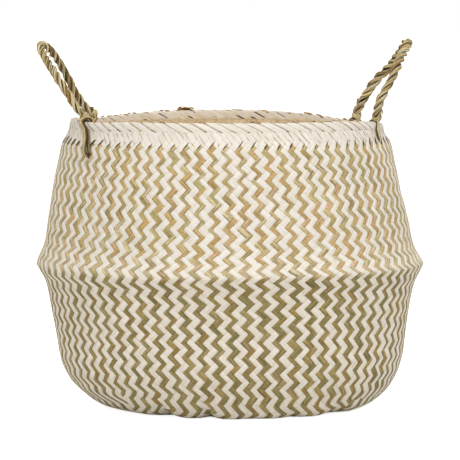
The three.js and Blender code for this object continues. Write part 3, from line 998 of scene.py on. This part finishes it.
across_fold([tip_shadow_piece], "patterned_plait", "upper_wall_plait")
on_body(band_slivers, "rim", "white_plait", "rim_band_plait")

# %% [markdown]
# ## The rolled edging
# Every second falling strip is bent over the top of both layers on a slant, and natural strips
# take over inside. The wraps lie side by side and flush with the band, on a core of natural
# strips that shows as a thin golden line in each gap and stands up here and there on top. Each
# wrap is a wire round the leaning oval of the edging that moves on round the mouth.

# %% Edging
edging_radius, edging_height = 0.1681, 0.3088
edging_deep, edging_tall, edging_tilt, squareness = 0.0026, 0.0040, 0.3, 0.5
# Inside, the edging reaches further down. Outside its strips dive under those of the band
stretch_inside, dive_depth, dive_share = 1.7, 0.0085, 0.9


def unit(vectors):
    """These vectors at length 1."""
    return vectors / np.linalg.norm(vectors, axis=-1, keepdims=True)


def ribbon(middle, facing, half_width, tint):
    """Wires of flat strips that lie on a surface, from their middle lines and its outward side."""
    heading = unit(np.gradient(middle, axis=1))
    facing = unit(facing - heading * (facing * heading).sum(-1, keepdims=True))
    right = np.cross(facing, heading) * np.asarray(half_width)[..., None]
    return sections(middle, middle - right, middle + right, facing, tint)


def edging_profile(turn, grow):
    """Reach and rise on the squarish oval of the edging. Turn 0 is outside, a quarter is on top.
    Below turn 0 the strips run straight down and dive under those of the band."""
    cos, sin = np.cos(turn), np.sin(turn)
    reach = (edging_deep + grow) * np.sign(cos) * np.abs(cos) ** squareness
    rise = (edging_tall + grow) * np.sign(sin) * np.abs(sin) ** squareness
    rise = np.where(turn > math.pi, rise * stretch_inside, rise)
    down = np.clip(-turn / (math.pi / 2), 0, 1)
    reach = np.where(turn < 0, (edging_deep + grow) * (1 - dive_share * down ** 1.5), reach)
    rise = np.where(turn < 0, -dive_depth * down, rise)
    return reach - edging_tilt * rise, rise


def round_edging(azimuth, turn, grow):
    """Points on the edging at an azimuth and a turn, and the direction out of it."""
    reach, rise = edging_profile(turn, grow)
    radius, height = edging_radius + reach, edging_height + rise
    height = height - rim_drop(azimuth, height)
    shift = look_up(lean, rim_height * 1000)
    spots = np.stack([radius * np.cos(azimuth) + shift, radius * np.sin(azimuth), height], axis=-1)
    out = turn + edging_tilt * np.cos(turn)
    facing = np.stack([np.cos(out) * np.cos(azimuth), np.cos(out) * np.sin(azimuth),
                       np.sin(out) + 0 * azimuth], axis=-1)
    return spots, facing


wrap_count = strip_count // 2
wrap_slant = math.radians(29)
fine_turn = np.radians(np.linspace(-90, 262, 700))
fine_steps = [np.diff(part, prepend=part[0]) for part in edging_profile(fine_turn, 0)]
fine_path = np.cumsum(np.hypot(*fine_steps))


def edging_wraps(start_azimuths, from_turn, to_turn, grow, share, bump=0.0, tuck=0.0):
    """Strips round the edging that move on round the mouth as they climb. Each covers a share of
    its place, from edge to edge, stands up by its bump on top and starts tucked into the band."""
    turn = np.radians(from_turn + (to_turn - from_turn) * np.linspace(0, 1, 24)[None])
    moved_on = np.interp(turn, fine_turn, fine_path) / math.tan(wrap_slant) / edging_radius
    azimuth = start_azimuths[:, None] - moved_on
    grow = grow + bump * np.exp(-((np.degrees(turn) - 90) / 35) ** 2)
    grow = grow - tuck * np.exp(-((np.degrees(turn) - from_turn) / 20) ** 2)
    reach = share * math.pi / wrap_count
    spots, facing = round_edging(azimuth, turn, grow)
    return sections(spots, round_edging(azimuth + reach, turn, grow)[0],
                    round_edging(azimuth - reach, turn, grow)[0], facing,
                    random.uniform(0, 1, (len(start_azimuths), 1)))


def some(low, high, count=wrap_count):
    """A random number for each wrap."""
    return random.uniform(low, high, (count, 1))


wrap_azimuths = np.arange(wrap_count) * math.tau / wrap_count + random.normal(0, 0.003, wrap_count)
between = wrap_azimuths + math.pi / wrap_count
at_the_back = np.sin(wrap_azimuths)[:, None] > 0.3
wraps = edging_wraps(wrap_azimuths, some(-88, -60), some(178, 215), grow=0.0001,
                     bump=0.0006 * some(0, 1) ** 2,
                     share=some(0.87, 0.98) - at_the_back * some(0, 0.16),
                     tuck=some(-0.0003, 0.0004))
core = edging_wraps(between, -62, 235, grow=-0.0004, share=1.0)
bumps = edging_wraps(between, some(30, 60), some(110, 150), grow=-0.0002,
                     bump=0.0024 * some(0, 1) ** 1.5,
                     share=some(0.12, 0.35) + at_the_back * some(0, 0.35))
# painted shadow: a dark spot in the gap between wraps, where they dive under the band
spots = edging_wraps(between, -70, some(-56, -30), grow=0.0, share=some(0.05, 0.22))
inner = edging_wraps(between, 125, 262, grow=-0.0001, share=some(1.01, 1.05))
# Inside the back of the mouth most wraps end in a dark spot of painted shadow
first_turn = some(120, 205)
shadow_spots_inside = edging_wraps(between, first_turn, first_turn + some(10, 40), grow=0.0001,
                                share=at_the_back * (some(0, 1) < 0.8) * some(0.06, 0.34))
# A few golden strips stand up together at the back, where the edging starts and ends
joint = edging_wraps(np.radians([113.5, 115.0, 116.5, 112.5]), 40, some(90, 130, 4), grow=0.0004,
                     bump=some(0.0026, 0.0044, 4), share=some(0.2, 0.45, 4))
for name, groups, finish, half_thickness in (
        ("edging_wraps_white", [wraps], white_seagrass, 0.00022),
        ("edging_core_golden", [core, bumps, joint], golden_seagrass, 0.0002),
        ("edging_wraps_natural", [inner], inner_seagrass, 0.0002),
        ("edging_shadow_spots", [spots, shadow_spots_inside], shadow_seagrass, 0.0002)):
    on_body(make_piece(name, groups, finish, half_thickness), "rim", "white_plait", "rim_edging")

# %% [markdown]
# ## Twisted rope
# The handle rope has three plies twisted to the right, one turn in 36 mm. Each ply is a bundle
# of narrow blades laid along it with a slight twist the other way, and the blades that lie
# between the plies, and the heart of each ply, are darkened with painted shade. The back leg of
# each handle has its own share of painted shade, more on the left one. Where the rope starts and
# ends it closes like a fingertip, as the foot does in the CAD. A few narrow strips are wound
# round each foot.

# %% Rope
foot_half_angle, foot_radius, foot_height = 25, 0.1693, 0.3187
loop_shares = [(1, 0), (1.01, 0.13), (0.96, 0.3), (0.86, 0.49), (0.69, 0.68), (0.46, 0.85),
               (0.2, 0.97), (0, 1)]
# Drops: how far each foot stands lower than the CAD's, as the edging hangs there. Bends: how far
# each leg is bent outwards at the places of loop_shares. Both are in millimetres
# Shade is how much painted shade darkens the back leg's blades; below 0 it takes some away
handles = {
    "left": {"azimuth": 178, "lean": 33.5, "rise": 0.0912, "front": 1, "girth": 0.97, "shade": 0.62,
             "drops": {"front": 2.4, "back": 4.2},
             "bends": {"front": [-0.5, 1.0, 0.6, 1.2, 1.2, 2.2, 1.8, 1.2],
                       "back": [0.5, 4.6, 4.2, 2.4, -0.5, -1.8, -0.6, 1.2]}},
    "right": {"azimuth": 7.5, "lean": 27, "rise": 0.0916, "front": -1, "girth": 1.1, "shade": -0.08,
              "drops": {"front": 4.4, "back": 8.2},
              "bends": {"front": [-2.0, -6.0, -6.5, -4.8, -3.8, -2.2, 1.6, 3.5],
                        "back": [0.0, -1.5, -0.6, 1.2, 5.2, 4.8, 3.6, 3.5]}}}
blade_step, heart_share = 0.0009, 0.8


def even_line(points, step):
    """An evenly stepped smooth line through these points, as the CAD's curve runs."""
    points = np.asarray(points, float)
    points = np.concatenate([2 * points[:1] - points[1:2], points, 2 * points[-1:] - points[-2:-1]])
    t = np.concatenate([[0], np.cumsum(np.sqrt(np.linalg.norm(np.diff(points, axis=0), axis=1)))])
    line = []
    for i in range(1, len(points) - 2):
        at = np.linspace(t[i], t[i + 1], 24, endpoint=i == len(points) - 3)[:, None]

        def blend(low, high, first, last):
            return ((t[last] - at) * low + (at - t[first]) * high) / (t[last] - t[first])

        a = [blend(points[i - 1 + k], points[i + k], i - 1 + k, i + k) for k in range(3)]
        b = [blend(a[k], a[k + 1], i - 1 + k, i + 1 + k) for k in range(2)]
        line.append(blend(b[0], b[1], i, i + 1))
    line = np.concatenate(line)
    length = np.concatenate([[0], np.cumsum(np.linalg.norm(np.diff(line, axis=0), axis=1))])
    at = np.linspace(0, length[-1], round(length[-1] / step) + 1)
    return np.stack([np.interp(at, length, line[:, k]) for k in range(3)], axis=1), at


def round_z(points, degrees):
    """Points turned about the basket's axis."""
    cos, sin = math.cos(math.radians(degrees)), math.sin(math.radians(degrees))
    return np.asarray(points) @ np.array([[cos, sin, 0], [-sin, cos, 0], [0, 0, 1]])


def handle_line(handle):
    """The rope's middle line from foot to foot, and the way square to the loop."""
    lean, half_angle = math.radians(handle["lean"]), math.radians(foot_half_angle)
    up = np.array([math.sin(lean), 0, math.cos(lean)])
    out = np.array([math.cos(lean), 0, -math.sin(lean)])

    def half(sign):
        leg = "front" if sign == handle["front"] else "back"
        mean_drop = sum(handle["drops"].values()) / 2
        return [np.array([foot_radius * math.cos(half_angle),
                          sign * foot_radius * math.sin(half_angle) * across,
                          foot_height - (handle["drops"][leg] * (1 - rise) + mean_drop * rise) / 1000])
                + up * handle["rise"] * rise + out * bend / 1000
                for (across, rise), bend in zip(loop_shares, handle["bends"][leg])]

    points = half(-1) + half(1)[-2::-1]
    return round_z(points, handle["azimuth"]), round_z(out[None], handle["azimuth"])[0]


def section_frame(line, square):
    """Two directions across a line at each of its points, the first as near square as can be."""
    heading = unit(np.gradient(line, axis=0))
    normal = unit(square - heading * (heading @ square)[:, None])
    return normal, np.cross(heading, normal)


def twisted_blades(line, at, square, plies=3, pitch=0.036, reach=0.0024, deep=0.0020, wide=0.0021,
                   blades=7, lay=-0.3, end_reach=0.0035, rough=1.0, girth=1.0, shade=0.0, phase=0.0):
    """Wires of the blades of some plies that are twisted together along a line."""
    normal, side = section_frame(line, square)
    from_end = np.minimum(at, at[-1] - at)
    close = np.sqrt(1 - np.clip(1 - from_end / end_reach, 0, 0.97) ** 2)
    swell = 0.04 * np.sin(at / 0.021 + random.uniform(0, 6)) + 0.02 * np.sin(at / 0.0073)
    size = (girth * close * (1 + rough * swell))[:, None]
    wobble = 0.45 * np.sin(at / 0.013 + random.uniform(0, 6)) + 0.35 * np.sin(at / 0.031)
    turn = math.tau * at / pitch + wobble + phase
    groups = []
    for ply in range(plies):
        angle = turn + ply * math.tau / plies
        radial = np.cos(angle)[:, None] * normal + np.sin(angle)[:, None] * side
        across = -np.sin(angle)[:, None] * normal + np.cos(angle)[:, None] * side
        start = random.uniform(0, math.tau)
        bulge = 1 + rough * 0.11 * np.sin(at / random.uniform(0.0035, 0.007) + start)
        for blade in range(blades):
            spin = start + math.tau * (blade + random.uniform(-0.2, 0.2)) / blades
            spin = spin + lay * turn + 0.12 * np.sin(at / random.uniform(0.006, 0.02) + spin)
            half = math.tau / blades / 2 * random.uniform(0.65, 1.25)
            proud = random.normal(0.0001, 0.0004) * rough
            proud = proud + 0.00014 * rough * np.sin(at / random.uniform(0.004, 0.012) + spin)

            def place(spin):
                out = (reach + (deep * bulge + proud) * np.cos(spin))[:, None]
                aside = ((wide * bulge + proud) * np.sin(spin))[:, None]
                return line + size * (radial * out + across * aside)

            facing = unit(radial * (np.cos(spin) / deep)[:, None]
                          + across * (np.sin(spin) / wide)[:, None])
            left, right = place(spin + half), place(spin - half)
            # painted shade: blades that face in between the plies are darkened, and shade adds more
            # painted shade
            crease = np.clip((0.28 - np.cos(spin)) / 0.7 + shade, 0, 1)
            groups.append(sections(place(spin)[None], left[None], right[None], facing[None],
                                   np.full((1, 1), random.uniform()), crease[None]))
        # two strips that cross fill the heart of the ply, and painted shade darkens them fully
        heart, heading = line + size * radial * reach, unit(np.gradient(line, axis=0))
        for way, breadth in ((across, wide), (radial, deep)):
            edge = size * way * breadth * heart_share
            groups.append(sections(heart[None], (heart + edge)[None], (heart - edge)[None],
                                   np.cross(-heading, way)[None], np.full((1, 1), 0.5), 1.0))
    return groups


def wound_strip(line, at, square, start, end, turns, radius, half_width, phase):
    """A flat strip wound round the rope between two places along it."""
    normal, side = section_frame(line, square)
    share = np.linspace(0, 1, max(round(turns * 16), 6))
    place, angle = start + (end - start) * share, phase + math.tau * turns * share

    def pick(values):
        return np.stack([np.interp(place, at, values[:, k]) for k in range(3)], axis=1)

    ray = np.cos(angle)[:, None] * pick(normal) + np.sin(angle)[:, None] * pick(side)
    middle = pick(line) + ray * radius
    return ribbon(middle[None], ray[None], np.full((1, len(share)), half_width),
                  random.uniform(0, 1, (1, 1)))


# Where each strip wound round a foot starts and ends along the rope, its turns and its radius
windings_of_foot = ((0.0022, 0.0058, 1.2, 0.0046), (0.0034, 0.0082, 0.9, 0.0049),
                    (0.0026, 0.0066, 0.6, 0.0051))
snugness = 0.98
for side, handle in handles.items():
    corners_of_loop, square = handle_line(handle)
    ends = [corners_of_loop[0] + (corners_of_loop[0] - corners_of_loop[1]) * 0.5,
            corners_of_loop[-1] + (corners_of_loop[-1] - corners_of_loop[-2]) * 0.5]
    line, at = even_line([ends[0], *corners_of_loop, ends[1]], blade_step)
    # painted shade on the back leg of the handle
    back_leg = np.clip((0.5 - np.linspace(0, 1, len(at))) * handle["front"] * 8, 0, 1)
    blades = twisted_blades(line, at, square, girth=handle["girth"], shade=handle["shade"] * back_leg)
    rope = make_piece(f"rope_{side}", blades, rope_seagrass, half_thickness=0.00026)
    on_body(rope, f"handle_{side}", "twisted_rope", f"handle_rope_{side}")
    for sign in (-1, 1):
        foot = "front" if sign == handle["front"] else "back"
        windings = []
        for low, high, turns, radius in windings_of_foot:
            start, end = (low, high) if sign < 0 else (at[-1] - low, at[-1] - high)
            windings.append(wound_strip(
                line, at, square, start, end, turns, radius * handle["girth"] * snugness,
                half_width=random.uniform(0.0008, 0.0013), phase=random.uniform(0, math.tau)))
        binding = make_piece(f"binding_strip_{side}_{foot}", windings, binding_seagrass,
                             half_thickness=0.0003)
        on_body(binding, f"handle_{side}", "natural_lining", f"binding_{side}_{foot}")

# %% [markdown]
# ## Lashings and knots
# At each foot two loose strands of the rope go side by side over the edging, down over the band
# and through the wall just under it. Inside they are tied in a small knot, which isn't in view.
# The strands end in the soft bell.

# %% Lashings and knots
wall_depth = 0.0041
# Where a lashing goes over the edging and where it ends, both in degrees, the height of its end,
# its loft over the edging, its share of painted shade, and the three sizes of its section
feet = {
    "left_front": {"azimuth": 206.3, "end": 212.3, "height": 0.2755, "loft": 0.0012, "shade": 0.3,
                   "reach": 0.0023, "deep": 0.0017, "wide": 0.0023},
    "left_back": {"azimuth": 153, "end": 150, "height": 0.282, "loft": 0.001, "shade": 0.3,
                  "reach": 0.0014, "deep": 0.0010, "wide": 0.0013},
    "right_front": {"azimuth": -18.5, "end": -18.8, "height": 0.289, "loft": 0.001, "shade": 0.75,
                    "reach": 0.0010, "deep": 0.0008, "wide": 0.0011},
    "right_back": {"azimuth": 32.5, "end": 35, "height": 0.282, "loft": 0, "shade": 0.3,
                   "reach": 0.0014, "deep": 0.0010, "wide": 0.0013}}


def lashing_line(foot):
    """Out of the wall, up over the band and the edging, and down inside to the knot."""
    lift = foot["reach"] * 0.3 + foot["deep"] + 0.0004
    climbing, top_run = run > 0.2, run[-1] - 0.003
    start_run = np.interp(foot["height"], wall_height[climbing], run[climbing])
    share = np.linspace(0, 1, 7)
    up_run = start_run + (top_run - start_run) * share
    drift = np.radians(foot["end"] + (foot["azimuth"] - foot["end"]) * share)
    sink = np.interp(share, [0, 0.12, 0.3], [-0.0030, lift * 0.8, lift])
    outside = settle(drift, up_run, sink)
    turn = np.radians([15, 50, 90, 130, 165])
    grow = foot["deep"] * 0.5 + 0.0007
    over = round_edging(np.full(5, math.radians(foot["azimuth"])), turn, grow)[0]
    over[:, 2] += foot["loft"] * np.sin(turn)
    down_run = np.linspace(top_run, band_foot_run + 0.008, 4)
    inside = settle(np.full(4, math.radians(foot["azimuth"])), down_run, -wall_depth - lift)
    return even_line([*outside, *over, *inside], blade_step)


knot_above_foot, knot_inside, knot_half_size = 0.0085, 0.0102, (0.0044, 0.0030, 0.0040)


def knot_blades(azimuth):
    """A small knot of blades wound round each other, inside the band."""
    centre = settle(np.array([math.radians(azimuth)]), np.array([band_foot_run + knot_above_foot]),
                    np.array([-knot_inside]))[0]
    wide, deep, tall = knot_half_size
    axes = round_z([[0, wide, 0], [deep, 0, 0], [0, 0, tall]], azimuth)
    groups = []
    for _ in range(9):
        tilt, tip = random.uniform(0, math.pi), random.uniform(-0.9, 0.9)
        a = np.array([math.cos(tilt), math.sin(tilt) * math.cos(tip), math.sin(tilt) * math.sin(tip)])
        b = unit(np.cross(a, random.normal(0, 1, 3)))
        angle = np.linspace(0, random.uniform(3.5, 5.8), 18)[:, None]
        ball = np.cos(angle) * a + np.sin(angle) * b
        spots = centre + (ball * random.uniform(0.88, 1.04)) @ axes
        groups.append(ribbon(spots[None], unit(ball @ axes)[None], np.full((1, 18), 0.0017),
                             random.uniform(0, 1, (1, 1))))
    return groups


for name, foot in feet.items():
    line, at = lashing_line(foot)
    azimuth = math.radians(foot["azimuth"])
    across_wall = np.array([-math.sin(azimuth), math.cos(azimuth), 0])
    strands = twisted_blades(line, at, across_wall, plies=2, pitch=0.25, reach=foot["reach"],
                             deep=foot["deep"], wide=foot["wide"], blades=9, lay=0.0, end_reach=0.002,
                             rough=0.6, shade=foot["shade"], phase=0.35)
    lashing = make_piece(f"lashing_strands_{name}", strands, rope_seagrass, half_thickness=0.00025)
    across_fold([lashing], "twisted_rope", f"lashing_{name}")
    knot = make_piece(f"knot_blades_{name}", knot_blades(foot["azimuth"]), rope_seagrass,
                      half_thickness=0.0004)
    on_body(knot, "rim", "twisted_rope", f"knot_{name}")
